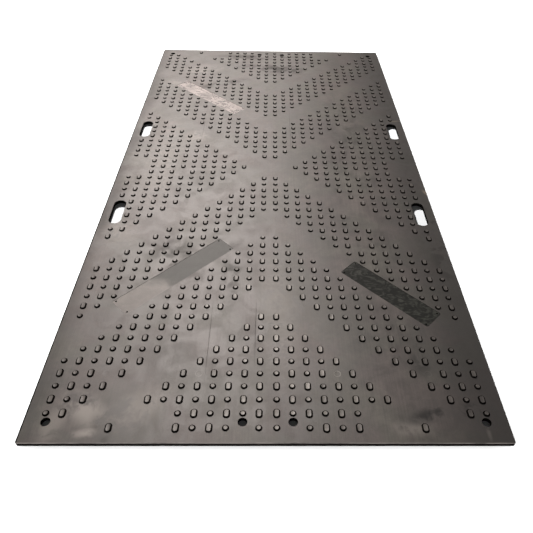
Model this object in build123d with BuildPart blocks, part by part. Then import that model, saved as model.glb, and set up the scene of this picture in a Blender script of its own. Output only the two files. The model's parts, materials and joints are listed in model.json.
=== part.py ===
"""Ground protection mat: one moulded polyethylene sheet with a studded top face.

Long and short studs alternate over the tread and leave bare diagonal bands between them. Round holes at the
corners and at the middle of each end take connectors or pins, and four slots are hand holds.
The origin is at the centre of the underside, with +Y along the length and +Z up through the tread.
"""

import os
from math import atan2, degrees

from build123d import *

# Sheet
mat_width = 1220
mat_length = 2440
sheet_thickness = 12.7
corner_radius = 6
arris_chamfer = 1.5

# Stud grid: columns are counted from 1 outwards from the centre line, rows from 0 inwards from each end
column_pitch = 41.3
row_pitch = 40.65
centre_gap = 44.7
least_side_margin = 40
least_end_margin = 25

# Studs, drafted from the footprint up to a crest
stud_height = 4
pill_length = 26.5
pill_width = 18
pill_crest = 14
round_width = 17.8

# Bare diagonal bands, found by adding a stud's column and row numbers
first_band = 11
band_period = 9
band_width = 3
band_count = 3

# Bare patches in the tread, halfway along each side and at each end
side_patch_columns = 2
side_patch_rows = 1
end_patch_columns = (7, 8, 9)
end_patch_rows = 2

# Flat spots where an ejector pin takes a stud's place, as column and row, and one in the near half only
flat_spots = [(5, 4), (11, 4), (8, 17)]
near_flat_spot = (9, 28)

# Fixing holes in one line along each end, two at its middle and one in each corner
hole_diameter = 23.5
hole_from_end = 58
corner_hole_from_side = 57
middle_hole_column = 2

# Hand slots, which take the place of studs in the outermost column
slot_width = 44
slot_length = 136
slot_from_side = 54.3
slot_row = 21.5

# Blank panels, sunk into a bare band, each given by its side, end, column and length
panel_width = 74
panel_depth = 0.8
panel_band = 21.2
panels = [(-1, -1, 7.7, 428), (-1, 1, 7.7, 428), (1, -1, 9.6, 331)]

column_count = 1 + int((mat_width / 2 - least_side_margin - centre_gap / 2) / column_pitch)
centre_row = int((mat_length / 2 - least_end_margin) / row_pitch)


def column_x(column):
    """Distance of a column from the centre line."""
    return centre_gap / 2 + (column - 1) * column_pitch


def row_y(row):
    """Distance of a row from the middle of the mat."""
    return (centre_row - row) * row_pitch


def mirrored(x, y, z=0):
    """The four places that match a point given in one quarter of the mat."""
    return [Location((side * x, end * y, z)) for side in (-1, 1) for end in (-1, 1)]


def in_band(column, row):
    """True in a bare diagonal band."""
    step = column + row - first_band
    return 0 <= step < band_count * band_period and step % band_period < band_width


def in_patch(column, row):
    """True in a bare patch, and where a hole, a slot or the mat's corner leaves no room."""
    at_hole = row == 0 and column in (middle_hole_column, column_count)
    at_slot = column == column_count and abs(row - slot_row) * row_pitch < slot_length / 2
    at_side = column > column_count - side_patch_columns and centre_row - row <= side_patch_rows
    at_end = column in end_patch_columns and row < end_patch_rows
    return at_hole or at_slot or at_side or at_end


def stud_places():
    """Column, row, side and end of every stud."""
    for end in (-1, 1):
        rows = range(centre_row + 1) if end < 0 else range(centre_row)
        spots = flat_spots + [near_flat_spot] if end < 0 else flat_spots
        for row in rows:
            for column in range(1, column_count + 1):
                bare = in_band(column, row) or in_patch(column, row) or (column, row) in spots
                if not bare:
                    yield column, row, -1, end
                    yield column, row, 1, end


# One long stud, a ridge hipped at both ends
with BuildPart() as pill_stud:
    Wedge(
        xsize=pill_width,
        ysize=stud_height,
        zsize=pill_length,
        xmin=pill_width / 2,
        zmin=(pill_length - pill_crest) / 2,
        xmax=pill_width / 2,
        zmax=(pill_length + pill_crest) / 2,
        rotation=(90, 0, 0),
        align=(Align.CENTER, Align.MIN, Align.CENTER),
    )

# One short stud, drafted up to its middle
with BuildPart() as round_stud:
    Wedge(
        xsize=round_width,
        ysize=stud_height,
        zsize=round_width,
        xmin=round_width / 2,
        zmin=round_width / 2,
        xmax=round_width / 2,
        zmax=round_width / 2,
        rotation=(90, 0, 0),
        align=(Align.CENTER, Align.MIN, Align.CENTER),
    )

# Sheet with its holes, slots and panel recesses, and the tread on top of it
with BuildPart() as mat:
    with BuildSketch() as outline:
        Rectangle(mat_width, mat_length)
        fillet(outline.vertices(), corner_radius)
    extrude(amount=sheet_thickness)
    chamfer(mat.faces().sort_by(Axis.Z)[-1].edges(), arris_chamfer)

    hole_y = mat_length / 2 - hole_from_end
    corner_hole_x = mat_width / 2 - corner_hole_from_side
    with BuildSketch():
        with Locations(*mirrored(corner_hole_x, hole_y), *mirrored(column_x(middle_hole_column), hole_y)):
            Circle(hole_diameter / 2)
        with Locations(*mirrored(mat_width / 2 - slot_from_side, row_y(slot_row))):
            SlotOverall(slot_length, slot_width, rotation=90)
    extrude(amount=sheet_thickness, mode=Mode.SUBTRACT)

    band_angle = degrees(atan2(row_pitch, column_pitch))
    with BuildSketch(Plane.XY.offset(sheet_thickness)) as recesses:
        for side, end, column, length in panels:
            with Locations((side * column_x(column), end * row_y(panel_band - column))):
                Rectangle(length, panel_width, rotation=side * end * band_angle)
    extrude(amount=-panel_depth, mode=Mode.SUBTRACT)

    studs = [
        (pill_stud if (column + row) % 2 == 0 else round_stud).part.moved(
            Location((side * column_x(column), end * row_y(row), sheet_thickness))
        )
        for column, row, side, end in stud_places()
    ]
    add(studs, clean=False)

mat.part.label = "mat"

os.makedirs("parts", exist_ok=True)
export_step(mat.part, "parts/mat.step")
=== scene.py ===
import json
from math import atan2, copysign, radians

import bmesh
import bpy
from mathutils import Matrix, Vector, noise


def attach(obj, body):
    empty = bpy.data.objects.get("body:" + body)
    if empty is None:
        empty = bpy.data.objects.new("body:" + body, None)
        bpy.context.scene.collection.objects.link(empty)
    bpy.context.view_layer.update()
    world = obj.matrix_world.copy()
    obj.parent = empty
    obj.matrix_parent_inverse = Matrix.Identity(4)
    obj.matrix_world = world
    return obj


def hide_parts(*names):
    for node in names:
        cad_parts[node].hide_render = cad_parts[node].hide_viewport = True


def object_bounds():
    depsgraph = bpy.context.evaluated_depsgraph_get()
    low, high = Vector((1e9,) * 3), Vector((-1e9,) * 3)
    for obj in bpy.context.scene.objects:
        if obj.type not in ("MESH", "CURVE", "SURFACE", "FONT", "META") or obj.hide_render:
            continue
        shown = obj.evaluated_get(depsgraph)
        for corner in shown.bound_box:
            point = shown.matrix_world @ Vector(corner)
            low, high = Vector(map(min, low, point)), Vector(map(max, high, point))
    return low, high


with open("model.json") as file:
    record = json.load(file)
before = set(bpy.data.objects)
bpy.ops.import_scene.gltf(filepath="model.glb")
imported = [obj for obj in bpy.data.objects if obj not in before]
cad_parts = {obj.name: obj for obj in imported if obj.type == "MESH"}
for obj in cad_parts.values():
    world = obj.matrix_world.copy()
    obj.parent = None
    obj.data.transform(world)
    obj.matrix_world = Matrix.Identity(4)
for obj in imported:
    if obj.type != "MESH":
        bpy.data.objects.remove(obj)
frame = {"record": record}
cad_low, cad_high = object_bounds()

# Sheet, in metres, with a rim inside the chamfer that is painted pale at both ends as a highlight
MAT_WIDTH = cad_high.x - cad_low.x
MAT_LENGTH = cad_high.y - cad_low.y
STUD_HEIGHT = 0.004
SHEET_TOP = cad_high.z - STUD_HEIGHT
CORNER_RADIUS = 0.006
CORNER_SIDES = 3
TOP_CHAMFER = 0.0015
EDGE_BREAK = 0.0005
RIM = 0.0025
END_RIM = MAT_LENGTH / 2 - RIM

# Stud grid: columns are counted from 1 outwards from the centre line, rows from 0 inwards from each end
COLUMN_PITCH = 0.0413
ROW_PITCH = 0.04065
CENTRE_GAP = 0.0447
COLUMNS = 14
CENTRE_ROW = 29

# Studs with a dark ring around their feet that is grime and painted contact shade, and the steps up their
# walls and over their dished tops, each as its width and rise
PILL_LENGTH = 0.0273
PILL_WIDTH = 0.0188
PILL_CORNER = 0.0084
ROUND_WIDTH = 0.0186
STUD_SIDES = 16
WALL_STEPS = [(0.0013, 0.0001), (0.0025, 0.0034)]
TREAD_STEPS = [(0.0008, 0.0005), (0.0013, -0.0002)]

# Bare diagonal bands, found by adding a stud's column and row numbers
FIRST_BAND = 11
BAND_PERIOD = 9
BAND_WIDTH = 3
BAND_COUNT = 3

# Bare patches in the tread, halfway along each side and at each end
SIDE_PATCH_COLUMNS = 2
SIDE_PATCH_ROWS = 1
END_PATCH_COLUMNS = (7, 8, 9)
END_PATCH_ROWS = 2

# Flat spots where an ejector pin takes a stud's place, as column and row, and one in the near half only
FLAT_SPOTS = [(5, 4), (11, 4), (8, 17)]
NEAR_FLAT_SPOT = (9, 28)
SPOT_RADIUS = 0.0095
SPOT_DEPTH = 0.00008
SPOT_RIM = 0.0009

# Holes and hand slots
MOUNTS = {mount["name"]: mount for mount in frame["record"]["mounts"]}
HOLE_RADIUS = MOUNTS["corner_holes"]["dims"]["hole_r_mm"] / 1000
HOLE_SIDES = 32
MIDDLE_HOLE_COLUMN = 2
SLOT_WIDTH = 0.044
SLOT_LENGTH = 0.136
SLOT_FROM_SIDE = 0.0543
SLOT_ROW = 21.5

# Blank panels, each given by its side, end, column, length and corner radius
PANEL_WIDTH = 0.074
PANEL_DEPTH = 0.0008
PANEL_DRAFT = 0.0004
PANEL_BAND = 21.2
PANELS = [(-1, -1, 7.7, 0.428, 0.002), (-1, 1, 7.7, 0.428, 0.002), (1, -1, 9.6, 0.331, 0.006)]

# Pin holes at the panels' corners, from each panel's ends and sides
PIN_ALONG = 0.0095
PIN_ACROSS = 0.007
PIN_RADIUS = 0.003
PIN_DEPTH = 0.002
PIN_SIDES = 12

# Creased panel, by its number in the list, with its folds and ripples to a metre along it and across it
CREASED_PANEL = 1
CREASE_INSET = 0.014
CREASE_BORDER = 0.002
CREASE_CELL = 0.004
CREASE_HEIGHT = 0.0004
FOLDS = (26, 62)
RIPPLES = (90, 160)

# Finishes of the mat's skin by number, where 1 to 3 are the panels' floors, and the one of each panel's walls
SHEET = 0
# Black unworn plastic, its darkness partly painted shade on walls, sides, stud feet, pin holes and the left
# rim
UNWORN_AND_SHADE = 4
TREAD = 5
PANEL_WALLS = [TREAD, SHEET, UNWORN_AND_SHADE]

# Edges that turn by more than this stay sharp, and so do those on the flat of the sheet
SHARP_TURN = radians(40)
LEVEL_WITHIN = 0.00001

# Camera, as the photograph was taken
CAMERA_PLACE = (0.0014, -1.8648, 1.2101)
CAMERA_TURN = (46.73, -1.059, -0.56)
CAMERA_LENS = 35.9
CAMERA_SHIFT = -0.0253

# Floor, just under the mat
FLOOR_REACH = 12
FLOOR_DROP = 0.0005


def column_x(column):
    """Distance of a column from the centre line."""
    return CENTRE_GAP / 2 + (column - 1) * COLUMN_PITCH


def row_y(row):
    """Distance of a row from the middle of the mat."""
    return (CENTRE_ROW - row) * ROW_PITCH


def mirrored(x, y):
    """The four places that match a point in one quarter of the mat."""
    return [(side * x, end * y) for side in (-1, 1) for end in (-1, 1)]


def has_stud(column, row, end):
    """False in the bare bands and patches, at the flat spots and where a hole or a slot leaves no room."""
    step = column + row - FIRST_BAND
    in_band = 0 <= step < BAND_COUNT * BAND_PERIOD and step % BAND_PERIOD < BAND_WIDTH
    at_hole = row == 0 and column in (MIDDLE_HOLE_COLUMN, COLUMNS)
    at_slot = column == COLUMNS and abs(row - SLOT_ROW) * ROW_PITCH < SLOT_LENGTH / 2
    at_side = column > COLUMNS - SIDE_PATCH_COLUMNS and CENTRE_ROW - row <= SIDE_PATCH_ROWS
    at_end = column in END_PATCH_COLUMNS and row < END_PATCH_ROWS
    at_spot = (column, row) in FLAT_SPOTS or (end < 0 and (column, row) == NEAR_FLAT_SPOT)
    return not (in_band or at_hole or at_slot or at_side or at_end or at_spot)


def round_face(bm, x, y, radius, sides, width=0.0, length=0.0, z=SHEET_TOP):
    """A flat round face, or one whose quarters are drawn apart to the given width and length."""
    made = bmesh.ops.create_circle(
        bm, cap_ends=True, segments=sides, radius=radius, matrix=Matrix.Translation((x, y, z))
    )
    turned = Matrix.Rotation(radians(180 / sides), 3, "Z")
    bmesh.ops.rotate(bm, verts=made["verts"], cent=(x, y, z), matrix=turned)
    for vertex in made["verts"]:
        if width:
            vertex.co.x += copysign(width / 2 - radius, vertex.co.x - x)
        if length:
            vertex.co.y += copysign(length / 2 - radius, vertex.co.y - y)
    face = made["verts"][0].link_faces[0]
    face.normal_update()
    if face.normal.z < 0:
        face.normal_flip()
    return face


def square_face(bm, width, length, corner, place=Matrix.Translation((0, 0, SHEET_TOP))):
    """A flat rectangular face with rounded corners."""
    size = Matrix.Diagonal((width, length, 1, 1))
    made = bmesh.ops.create_grid(bm, x_segments=1, y_segments=1, size=0.5, matrix=place @ size)
    rounded = bmesh.ops.bevel(
        bm,
        geom=made["verts"],
        offset=corner,
        affect="VERTICES",
        segments=CORNER_SIDES,
        profile=0.5,
        material=-1,
    )
    return rounded["verts"][0].link_faces[0]


def inset(bm, faces, inward, depth):
    """Insets faces by a width and moves them along their normals by a depth."""
    bmesh.ops.inset_individual(bm, faces=faces, thickness=inward, depth=depth, use_even_offset=True)


def finish_with(faces, number):
    """Gives faces a finish, which the walls that are raised from them take as well."""
    for face in faces:
        face.material_index = number


def fill(bm, edges, up):
    """Fills the flat area between closed loops of edges, facing up for 1 and down for -1."""
    made = bmesh.ops.triangle_fill(bm, edges=edges, use_beauty=True, normal=(0, 0, up))
    return [item for item in made["geom"] if isinstance(item, bmesh.types.BMFace)]


def stud_faces(bm):
    """The footprint of every stud, long and short by turns."""
    faces = []
    for column in range(1, COLUMNS + 1):
        for row in range(CENTRE_ROW + 1):
            for x, y in dict.fromkeys(mirrored(column_x(column), row_y(row))):
                if not has_stud(column, row, copysign(1, y)):
                    continue
                if (column + row) % 2 == 0:
                    faces.append(round_face(bm, x, y, PILL_CORNER, STUD_SIDES, PILL_WIDTH, PILL_LENGTH))
                else:
                    faces.append(round_face(bm, x, y, ROUND_WIDTH / 2, STUD_SIDES))
    return faces


def spot_faces(bm):
    """The flat round marks that the ejector pins left."""
    return [
        round_face(bm, x, y, SPOT_RADIUS, STUD_SIDES)
        for column, row in FLAT_SPOTS + [NEAR_FLAT_SPOT]
        for x, y in mirrored(column_x(column), row_y(row))
        if (column, row) != NEAR_FLAT_SPOT or y < 0
    ]


def through_faces(bm):
    """The outlines of the fixing holes and the hand slots, at the width of their broken edges."""
    faces = []
    for name in ("corner_holes", "middle_holes"):
        spacing = MOUNTS[name]["dims"]
        for x, y in mirrored(spacing["spacing_x_mm"] / 2000, spacing["spacing_y_mm"] / 2000):
            faces.append(round_face(bm, x, y, HOLE_RADIUS + EDGE_BREAK, HOLE_SIDES))
    for x, y in mirrored(MAT_WIDTH / 2 - SLOT_FROM_SIDE, row_y(SLOT_ROW)):
        radius = SLOT_WIDTH / 2 + EDGE_BREAK
        faces.append(round_face(bm, x, y, radius, HOLE_SIDES, length=SLOT_LENGTH + 2 * EDGE_BREAK))
    return faces


def panel_place(side, end, column):
    """Where a panel lies, turned along its bare band."""
    turn = Matrix.Rotation(side * end * atan2(ROW_PITCH, COLUMN_PITCH), 4, "Z")
    return Matrix.Translation((side * column_x(column), end * row_y(PANEL_BAND - column), SHEET_TOP)) @ turn


def crease(along, across):
    """Height of the creases at a point of the panel."""
    folds = noise.noise(Vector((along * FOLDS[0], across * FOLDS[1], 0.3)))
    ripples = noise.noise(Vector((along * RIPPLES[0], across * RIPPLES[1], 4.1)))
    return CREASE_HEIGHT * (0.7 * (1 - 4 * abs(folds)) + 0.3 * ripples)


def panel_floor(bm, panel, number, place, length):
    """Pin holes at a panel's corners, and the creased middle of the panel that has one."""
    edges = panel.edges[:]
    floor = place @ Matrix.Translation((0, 0, -PANEL_DEPTH))
    pins = []
    for along in (PIN_ALONG - length / 2, length / 2 - PIN_ALONG):
        for across in (PIN_ACROSS - PANEL_WIDTH / 2, PANEL_WIDTH / 2 - PIN_ACROSS):
            x, y, z = floor @ Vector((along, across, 0))
            pins.append(round_face(bm, x, y, PIN_RADIUS, PIN_SIDES, z=z))
            edges += pins[-1].edges
    made = []
    if number == CREASED_PANEL:
        size = (length - 2 * CREASE_INSET, PANEL_WIDTH - 2 * CREASE_BORDER)
        cells = [round(side / CREASE_CELL) for side in size]
        spread = floor @ Matrix.Diagonal((*size, 1, 1))
        grid = bmesh.ops.create_grid(bm, x_segments=cells[0], y_segments=cells[1], size=0.5, matrix=spread)
        inner = [vertex for vertex in grid["verts"] if not vertex.is_boundary]
        made = list({face for vertex in inner for face in vertex.link_faces})
        edges += [edge for edge in {edge for face in made for edge in face.edges} if edge.is_boundary]
        for vertex in inner:
            along, across, _ = floor.inverted() @ vertex.co
            vertex.co.z += crease(along, across)
    bmesh.ops.delete(bm, geom=[panel], context="FACES_ONLY")
    made += fill(bm, edges, 1)
    finish_with(made, number + 1)
    finish_with(pins, UNWORN_AND_SHADE)
    return pins


def mat_mesh():
    """The sheet with its studs, holes, slots, panels and flat spots as one closed skin."""
    bm = bmesh.new()
    studs = stud_faces(bm)
    through = through_faces(bm)
    spots = spot_faces(bm)
    places = [panel_place(side, end, column) for side, end, column, _, _ in PANELS]
    panels = [
        square_face(bm, length, PANEL_WIDTH, corner, place)
        for place, (_, _, _, length, corner) in zip(places, PANELS)
    ]
    border = TOP_CHAMFER + RIM
    outline = square_face(bm, MAT_WIDTH - 2 * border, MAT_LENGTH - 2 * border, CORNER_RADIUS - border)
    outline.normal_flip()
    fill(bm, bm.edges[:], 1)

    # Stud feet and walls and the hole and slot walls take the black finish; the ring at each stud's foot is
    # grime and painted contact shade
    finish_with(studs + through, UNWORN_AND_SHADE)
    for width, rise in WALL_STEPS:
        inset(bm, studs, width, rise)
    finish_with(studs, TREAD)
    for width, rise in TREAD_STEPS:
        inset(bm, studs, width, rise)
    finish_with(spots, TREAD)
    inset(bm, spots, SPOT_RIM, -SPOT_DEPTH)
    finish_with(spots, SHEET)
    for panel, wall in zip(panels, PANEL_WALLS):
        finish_with([panel], wall)
    inset(bm, panels, PANEL_DRAFT, -PANEL_DEPTH)
    for number, (panel, place) in enumerate(zip(panels, places)):
        pins = panel_floor(bm, panel, number, place, PANELS[number][3])
        inset(bm, pins, 0, -PIN_DEPTH)

    inset(bm, through, EDGE_BREAK, -EDGE_BREAK)
    inset(bm, through, 0, 2 * EDGE_BREAK - SHEET_TOP)
    inset(bm, through, -EDGE_BREAK, -EDGE_BREAK)
    inset(bm, [outline], -RIM, 0)
    inset(bm, [outline], -TOP_CHAMFER, TOP_CHAMFER)
    finish_with([outline], UNWORN_AND_SHADE)
    inset(bm, [outline], 0, SHEET_TOP - TOP_CHAMFER - EDGE_BREAK)
    inset(bm, [outline], EDGE_BREAK, EDGE_BREAK)
    bmesh.ops.delete(bm, geom=through + [outline], context="FACES_ONLY")
    fill(bm, [edge for edge in bm.edges if edge.is_boundary], -1)

    # The faces along the left edge, its rim and chamfer too, take the black finish as a painted line of shade
    left_rim = border - MAT_WIDTH / 2
    finish_with([face for face in bm.faces if face.calc_center_median().x < left_rim], UNWORN_AND_SHADE)

    for face in bm.faces:
        face.smooth = True
    for edge in bm.edges:
        on_sheet = all(abs(vertex.co.z - SHEET_TOP) < LEVEL_WITHIN for vertex in edge.verts)
        edge.smooth = not on_sheet and edge.calc_face_angle(0) < SHARP_TURN
    mesh = bpy.data.meshes.new("mat_skin")
    bm.to_mesh(mesh)
    bm.free()
    return mesh


mat_skin = bpy.data.objects.new("mat_skin", mat_mesh())
bpy.context.collection.objects.link(mat_skin)
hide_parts("mat")
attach(mat_skin, "root")


# Pale scuffs, tan scrapes and dark stains on the sheet, each as its place, width, length, turn and strength
SCUFFS = [
    (-0.46, -1.13, 0.11, 0.055, -35, 1.0),
    (-0.44, -1.19, 0.06, 0.02, 10, 1.0),
    (-0.33, -1.12, 0.13, 0.07, 30, 0.6),
    (-0.53, -1.16, 0.04, 0.1, -20, 0.5),
    (-0.52, -0.42, 0.12, 0.08, -30, 0.5),
    (-0.44, 0.05, 0.1, 0.5, 0, 0.5),
    (-0.33, 0.24, 0.08, 0.08, 0, 0.7),
    (-0.47, 0.78, 0.1, 0.07, 0, 0.5),
    (-0.36, 0.95, 0.16, 0.1, 20, 0.5),
    (0.03, -0.8, 0.08, 0.4, 5, 0.35),
    (0.36, -1.18, 0.08, 0.03, 0, 0.4),
    (0.55, -1.19, 0.008, 0.04, 0, 0.8),
]
SCRAPES = [
    (0.607, -0.17, 0.013, 0.03, 25, 1.0),
    (0.58, 0.4, 0.04, 0.009, 10, 0.6),
]
STAINS = [
    (0.42, -1.14, 0.11, 0.035, 15, 1.0),
    (0.53, -1.13, 0.09, 0.07, 0, 0.9),
    (0.42, -0.98, 0.06, 0.08, 20, 0.7),
    (0.58, -0.45, 0.13, 0.75, 0, 0.9),
    (0.58, 0.5, 0.09, 0.6, 0, 0.8),
    (0.3, 0.2, 0.05, 0.4, 10, 0.35),
    (-0.41, -1.185, 0.07, 0.03, -60, 0.5),
    (-0.3, -0.55, 0.1, 0.2, 30, 0.35),
    (-0.12, -0.62, 0.04, 0.2, 0, 0.3),
    (0.05, 0.97, 0.25, 0.07, -10, 0.6),
    (-0.1, 1.13, 0.3, 0.05, 0, 0.5),
    (-0.25, 0.78, 0.25, 0.04, 25, 0.4),
]

# Dark lengthwise scratches, each as its place, width and length
SCRATCHES = [
    (-0.038, -0.86, 0.0014, 0.16),
    (-0.17, -0.9, 0.001, 0.2),
    (0.09, 0.3, 0.001, 0.3),
    (-0.3, 0.3, 0.001, 0.15),
]

# Colours of the used plastic, and of the marks and the rubbed places on it, with a pale painted highlight for
# the rim and a dark colour for grime and painted shade
COOL_GREY = (0.034, 0.032, 0.026, 1)
WARM_GREY = (0.038, 0.031, 0.028, 1)
PALE = (0.16, 0.146, 0.132, 1)
TAN = (0.34, 0.28, 0.2, 1)
# Dark colour for grime and for painted shade towards the right side
GRIME_AND_SHADE = (0.006, 0.0055, 0.005, 1)
# Pale colour painted on the rim at both ends as a highlight
RIM_HIGHLIGHT = (0.2, 0.18, 0.165, 1)
RUBBED_STUD = (0.085, 0.078, 0.07, 1)
WALKED_STUD = (0.36, 0.34, 0.31, 1)


class Finish:
    """A material whose patterns are built up from the place on the mat."""

    def __init__(self, name, roughness):
        self.material = bpy.data.materials.new(name)
        self.material.use_nodes = True
        self.tree = self.material.node_tree
        self.shader = self.tree.nodes["Principled BSDF"]
        self.shader.inputs["Roughness"].default_value = roughness
        self.place = self.node("ShaderNodeTexCoord").outputs["Object"]
        split = self.node("ShaderNodeSeparateXYZ")
        self.join(self.place, split.inputs[0])
        self.x, self.y, self.z = split.outputs

    def node(self, kind, **settings):
        """Adds a node with its settings."""
        made = self.tree.nodes.new(kind)
        for name, value in settings.items():
            setattr(made, name, value)
        return made

    def join(self, value, socket):
        """Links a socket's input, or sets it to a plain value."""
        if isinstance(value, bpy.types.NodeSocket):
            self.tree.links.new(value, socket)
        else:
            socket.default_value = value

    def math(self, operation, first, second=0.0):
        """What an operation makes of one or two values."""
        made = self.node("ShaderNodeMath", operation=operation)
        self.join(first, made.inputs[0])
        self.join(second, made.inputs[1])
        return made.outputs[0]

    def fade(self, value, start, end, low=0.0, high=1.0):
        """A smooth change from low to high while the value goes from start to end."""
        made = self.node("ShaderNodeMapRange", interpolation_type="SMOOTHSTEP")
        for number, item in enumerate((value, start, end, low, high)):
            self.join(item, made.inputs[number])
        return made.outputs[0]

    def mix(self, share, first, second, blend="MIX"):
        """The first colour, with a share of the second mixed in."""
        made = self.node("ShaderNodeMix", data_type="RGBA", blend_type=blend)
        self.join(share, made.inputs["Factor"])
        self.join(first, made.inputs[6])
        self.join(second, made.inputs[7])
        return made.outputs[2]

    def stretched(self, stretch, turn=0.0, offset=(0.0, 0.0, 0.0)):
        """The place on the mat, turned and stretched."""
        made = self.node("ShaderNodeMapping")
        self.join(self.place, made.inputs["Vector"])
        made.inputs["Location"].default_value = offset
        made.inputs["Rotation"].default_value = (0, 0, radians(turn))
        made.inputs["Scale"].default_value = stretch
        return made.outputs[0]

    def noise(self, scale, detail=3.0, distortion=0.0, stretch=(1, 1, 1), turn=0.0, offset=(0, 0, 0)):
        """An uneven pattern with so many blots to a metre."""
        made = self.node("ShaderNodeTexNoise")
        self.join(self.stretched(stretch, turn, offset), made.inputs["Vector"])
        made.inputs["Scale"].default_value = scale
        made.inputs["Detail"].default_value = detail
        made.inputs["Distortion"].default_value = distortion
        return made.outputs["Fac"]

    def spot(self, x, y, width, length, soft=0.6, turn=0.0):
        """One where a round or drawn-out mark lies, fading out towards its rim."""
        made = self.node("ShaderNodeMapping", vector_type="TEXTURE")
        self.join(self.place, made.inputs["Vector"])
        made.inputs["Location"].default_value = (x, y, SHEET_TOP)
        made.inputs["Rotation"].default_value = (0, 0, radians(turn))
        made.inputs["Scale"].default_value = (width, length, 1)
        far = self.node("ShaderNodeVectorMath", operation="LENGTH")
        self.join(made.outputs[0], far.inputs[0])
        return self.fade(far.outputs["Value"], 1, 1 - soft)

    def bump(self, height, strength, distance):
        """Roughens the surface by a height."""
        made = self.node("ShaderNodeBump")
        made.inputs["Strength"].default_value = strength
        made.inputs["Distance"].default_value = distance
        self.join(height, made.inputs["Height"])
        self.join(made.outputs[0], self.shader.inputs["Normal"])


def shade(finish, colour, amount, depth):
    """Lightens or darkens a colour by up to a share where the amount leaves one half."""
    strength = finish.fade(amount, 0.25, 0.75, 1 - depth, 1 + depth)
    grey = finish.node("ShaderNodeCombineColor")
    for socket in grey.inputs:
        finish.join(strength, socket)
    return finish.mix(1.0, colour, grey.outputs[0], "MULTIPLY")


def marks(finish, places, ragged):
    """One where any of a list of marks lies, with a ragged rim."""
    most = 0.0
    for x, y, width, length, turn, share in places:
        mark = finish.math("MULTIPLY", finish.spot(x, y, width, length, 0.9, turn), share)
        most = finish.math("MAXIMUM", most, mark)
    return finish.math("MULTIPLY", most, ragged)


def rubbed_sheet(finish):
    """Black plastic gone grey with use, with scuffs, streaks and a fine grain, dull grime in places, darker
    towards the left edge and with painted shade towards the right side.
    """
    clouds = finish.noise(4.5, 5, 0.4)
    patches = finish.noise(17, 6, 0.8)
    blotches = finish.noise(55, 4, 0.6)
    streaks = finish.noise(1, 4, 0, (200, 5, 1))
    grain = finish.noise(700, 2)
    warmth = finish.fade(finish.noise(6, 3, 0.5, offset=(3, 1, 0)), 0.4, 0.6)
    colour = finish.mix(warmth, COOL_GREY, WARM_GREY)
    for pattern, depth in ((clouds, 0.3), (patches, 0.3), (blotches, 0.15), (streaks, 0.16), (grain, 0.2)):
        colour = shade(finish, colour, pattern, depth)

    ragged = finish.fade(finish.math("ADD", patches, finish.math("MULTIPLY", blotches, 0.3)), 0.5, 0.72)
    colour = finish.mix(marks(finish, SCUFFS, ragged), colour, PALE)
    colour = finish.mix(marks(finish, SCRAPES, 1.0), colour, TAN)

    grime_and_shade = marks(finish, STAINS, ragged)
    # Darker towards the left edge, and painted shade darkening the sheet towards its right side
    margin = finish.math("ADD", finish.x, finish.fade(clouds, 0.3, 0.7, -0.02, 0.02))
    grime_and_shade = finish.math("MAXIMUM", grime_and_shade, finish.fade(margin, -0.53, -0.61, 0, 0.3))
    grime_and_shade = finish.math("MAXIMUM", grime_and_shade, finish.fade(margin, 0.34, 0.58, 0, 0.75))
    for x, y, width, length in SCRATCHES:
        scratch = finish.math("MULTIPLY", finish.spot(x, y, width, length), 0.5)
        grime_and_shade = finish.math("MAXIMUM", grime_and_shade, scratch)

    dull = finish.fade(patches, 0.3, 0.7, 0.39, 0.5)
    dull = finish.math("ADD", dull, finish.fade(streaks, 0.3, 0.7, -0.02, 0.02))
    dull = finish.math("ADD", dull, finish.math("MULTIPLY", grime_and_shade, 0.4))
    finish.join(dull, finish.shader.inputs["Roughness"])
    waves = finish.math("ADD", finish.math("MULTIPLY", finish.noise(14, 2), 2.0), grain)
    finish.bump(waves, 0.2, 0.0003)
    return finish.mix(grime_and_shade, colour, GRIME_AND_SHADE)


def worn_sheet():
    """The flat of the sheet, with its rim painted pale at both ends as a highlight."""
    finish = Finish("worn_polyethylene", 0.5)
    colour = rubbed_sheet(finish)
    # The rim at both ends is painted pale in patches, as a highlight
    end_rim = finish.fade(finish.math("ABSOLUTE", finish.y), END_RIM, END_RIM + 0.001)
    rim_highlight = finish.math("MULTIPLY", end_rim, finish.fade(finish.noise(25, 4), 0.3, 0.6, 0.3, 1))
    colour = finish.mix(rim_highlight, colour, RIM_HIGHLIGHT)
    finish.join(colour, finish.shader.inputs["Base Color"])
    return finish.material


def unworn_and_shaded_walls():
    """The walls of the studs, holes and slots and the mat's sides, still black and a little dusty, their very
    dark colour partly painted shade.
    """
    finish = Finish("unworn_and_shaded_polyethylene", 0.7)
    dust = finish.fade(finish.noise(90, 4), 0.5, 0.8)
    colour = finish.mix(dust, (0.004, 0.0038, 0.0035, 1), (0.014, 0.0125, 0.011, 1))
    finish.join(shade(finish, colour, finish.noise(500, 2), 0.3), finish.shader.inputs["Base Color"])
    finish.shader.inputs["Specular IOR Level"].default_value = 0.0
    finish.bump(finish.noise(600, 3), 0.2, 0.0003)
    return finish.material


def rubbed_tread():
    """The tops of the studs, rubbed pale, most of all where they are walked on."""
    finish = Finish("rubbed_tread", 0.5)
    colour = rubbed_sheet(finish)
    walked = finish.spot(0, -0.95, 0.42, 0.75, 1.0)
    tread = finish.fade(finish.noise(31, 3, offset=(7, 2, 0)), 0.35, 0.65, 0.3, 1.0)
    crest = SHEET_TOP + STUD_HEIGHT
    dish = crest + TREAD_STEPS[-1][1]
    worn = finish.math("MULTIPLY", tread, finish.fade(finish.z, dish, crest, 0.5, 1.0))
    colour = finish.mix(worn, colour, RUBBED_STUD)
    colour = finish.mix(finish.math("MULTIPLY", worn, walked), colour, WALKED_STUD)
    finish.join(colour, finish.shader.inputs["Base Color"])
    return finish.material


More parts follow.
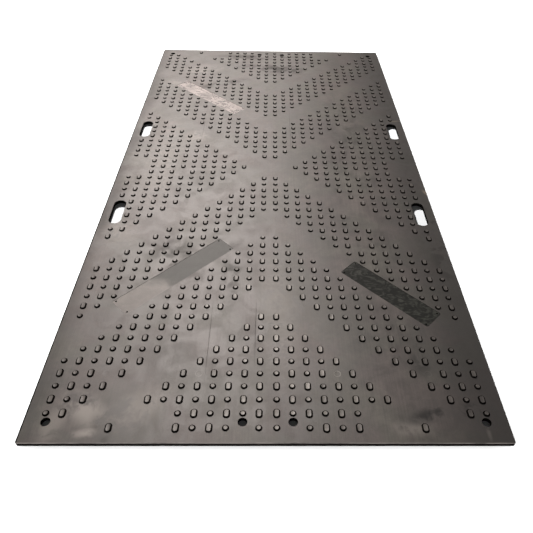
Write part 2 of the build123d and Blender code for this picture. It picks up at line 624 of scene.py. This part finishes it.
def smooth_panel():
    """Smooth plastic, greenish and darker at its inner end and as rubbed as the sheet at its outer one."""
    finish = Finish("near_left_panel", 0.5)
    along = finish.math("ADD", finish.x, finish.y)
    ragged = finish.fade(finish.noise(9, 3), 0, 1, -0.08, 0.08)
    inner_end = finish.fade(finish.math("ADD", along, ragged), -1.06, -0.94)
    colour = finish.mix(inner_end, (0.075, 0.066, 0.058, 1), (0.016, 0.0175, 0.014, 1))
    colour = shade(finish, colour, finish.noise(22, 4, 1.0), 0.25)
    colour = shade(finish, colour, finish.noise(600, 2), 0.15)
    finish.join(colour, finish.shader.inputs["Base Color"])
    finish.join(finish.fade(inner_end, 0, 1, 0.48, 0.56), finish.shader.inputs["Roughness"])
    finish.bump(finish.noise(40, 4), 0.2, 0.0002)
    return finish.material


def creased_panel():
    """Pale rubbed plastic with dark lines in its creases."""
    finish = Finish("far_left_panel", 0.5)
    folds = finish.noise(16, 3, 1.2, (1, 2.2, 1), 30)
    lines = finish.fade(finish.math("ABSOLUTE", finish.math("SUBTRACT", folds, 0.5)), 0.005, 0.035)
    colour = finish.mix(lines, (0.012, 0.01, 0.009, 1), (0.2, 0.175, 0.165, 1))
    colour = shade(finish, colour, finish.noise(12, 4), 0.35)
    finish.join(colour, finish.shader.inputs["Base Color"])
    finish.bump(folds, 0.4, 0.0005)
    return finish.material


def mottled_panel():
    """Dark greenish plastic with paler smears."""
    finish = Finish("near_right_panel", 0.65)
    smears = finish.fade(finish.noise(30, 6, 2.0, (1, 1.6, 1), 40), 0.42, 0.68)
    colour = finish.mix(smears, (0.003, 0.004, 0.003, 1), (0.02, 0.022, 0.018, 1))
    colour = shade(finish, colour, finish.noise(300, 3), 0.25)
    finish.join(colour, finish.shader.inputs["Base Color"])
    finish.join(finish.fade(smears, 0, 1, 0.7, 0.5), finish.shader.inputs["Roughness"])
    finish.shader.inputs["Specular IOR Level"].default_value = 0.2
    finish.bump(finish.noise(60, 5), 0.5, 0.001)
    return finish.material


for make in (worn_sheet, smooth_panel, creased_panel, mottled_panel, unworn_and_shaded_walls, rubbed_tread):
    mat_skin.data.materials.append(make())

# Floor
bm = bmesh.new()
bmesh.ops.create_grid(bm, x_segments=1, y_segments=1, size=FLOOR_REACH)
bmesh.ops.translate(bm, verts=bm.verts, vec=(0, 0, -FLOOR_DROP))
floor_mesh = bpy.data.meshes.new("floor")
bm.to_mesh(floor_mesh)
bm.free()
floor = bpy.data.objects.new("floor", floor_mesh)
bpy.context.collection.objects.link(floor)
pale_floor = bpy.data.materials.new("pale_floor")
pale_floor.use_nodes = True
floor_shader = pale_floor.node_tree.nodes["Principled BSDF"]
floor_shader.inputs["Base Color"].default_value = (0.9, 0.9, 0.9, 1)
floor_shader.inputs["Roughness"].default_value = 0.9
floor.data.materials.append(pale_floor)

# Camera
camera_data = bpy.data.cameras.new("camera")
camera_data.lens = CAMERA_LENS
camera_data.shift_x = CAMERA_SHIFT
camera = bpy.data.objects.new("camera", camera_data)
camera.location = CAMERA_PLACE
camera.rotation_euler = [radians(angle) for angle in CAMERA_TURN]
bpy.context.collection.objects.link(camera)
bpy.context.scene.camera = camera

# Light
world = bpy.data.worlds.new("studio")
world.use_nodes = True
world.node_tree.nodes["Background"].inputs["Color"].default_value = (1, 1, 1, 1)
world.node_tree.nodes["Background"].inputs["Strength"].default_value = 0.05
bpy.context.scene.world = world
WARM_LIGHT = (1.0, 0.91, 0.86)


def soft_light(name, place, target, size, power, colour=(1, 1, 1)):
    """A soft area light that faces a point."""
    data = bpy.data.lights.new(name, "AREA")
    data.shape = "RECTANGLE"
    data.size = size[0]
    data.size_y = size[1]
    data.energy = power
    data.color = colour
    light = bpy.data.objects.new(name, data)
    light.location = place
    aim = Vector(target) - Vector(place)
    light.rotation_euler = aim.to_track_quat("-Z", "Y").to_euler()
    bpy.context.collection.objects.link(light)
    return light


# Lights for the mat alone
mat_lights = [
    soft_light("back_light", (-0.9, 2.9, 4.3), (-0.1, -0.1, 0), (2.7, 4.7), 470, WARM_LIGHT),
    soft_light("low_back_light", (-1.2, 6.5, 2.5), (-0.2, 0.9, 0), (4.0, 1.4), 90, WARM_LIGHT),
    soft_light("front_light", (-2.2, -3.0, 4.0), (-0.3, -0.6, 0), (3.0, 3.0), 110),
]

# Lights for the floor alone, two low ones beside the mat and one that shines into its slots
floor_lights = [
    soft_light("left_floor_light", (-5, -1, 0.9), (0, -0.5, 0), (5.0, 0.6), 1300),
    soft_light("right_floor_light", (5, -1, 0.9), (0, -0.5, 0), (5.0, 0.6), 1300),
    soft_light("slot_light", (-2.2, 6.6, 3.5), (0, 0, 0), (0.3, 0.3), 1500),
]

for name, lit, shining in (("lit_mat", mat_skin, mat_lights), ("lit_floor", floor, floor_lights)):
    receivers = bpy.data.collections.new(name)
    receivers.objects.link(lit)
    for light in shining:
        light.light_linking.receiver_collection = receivers

bpy.context.scene.view_settings.view_transform = "Standard"
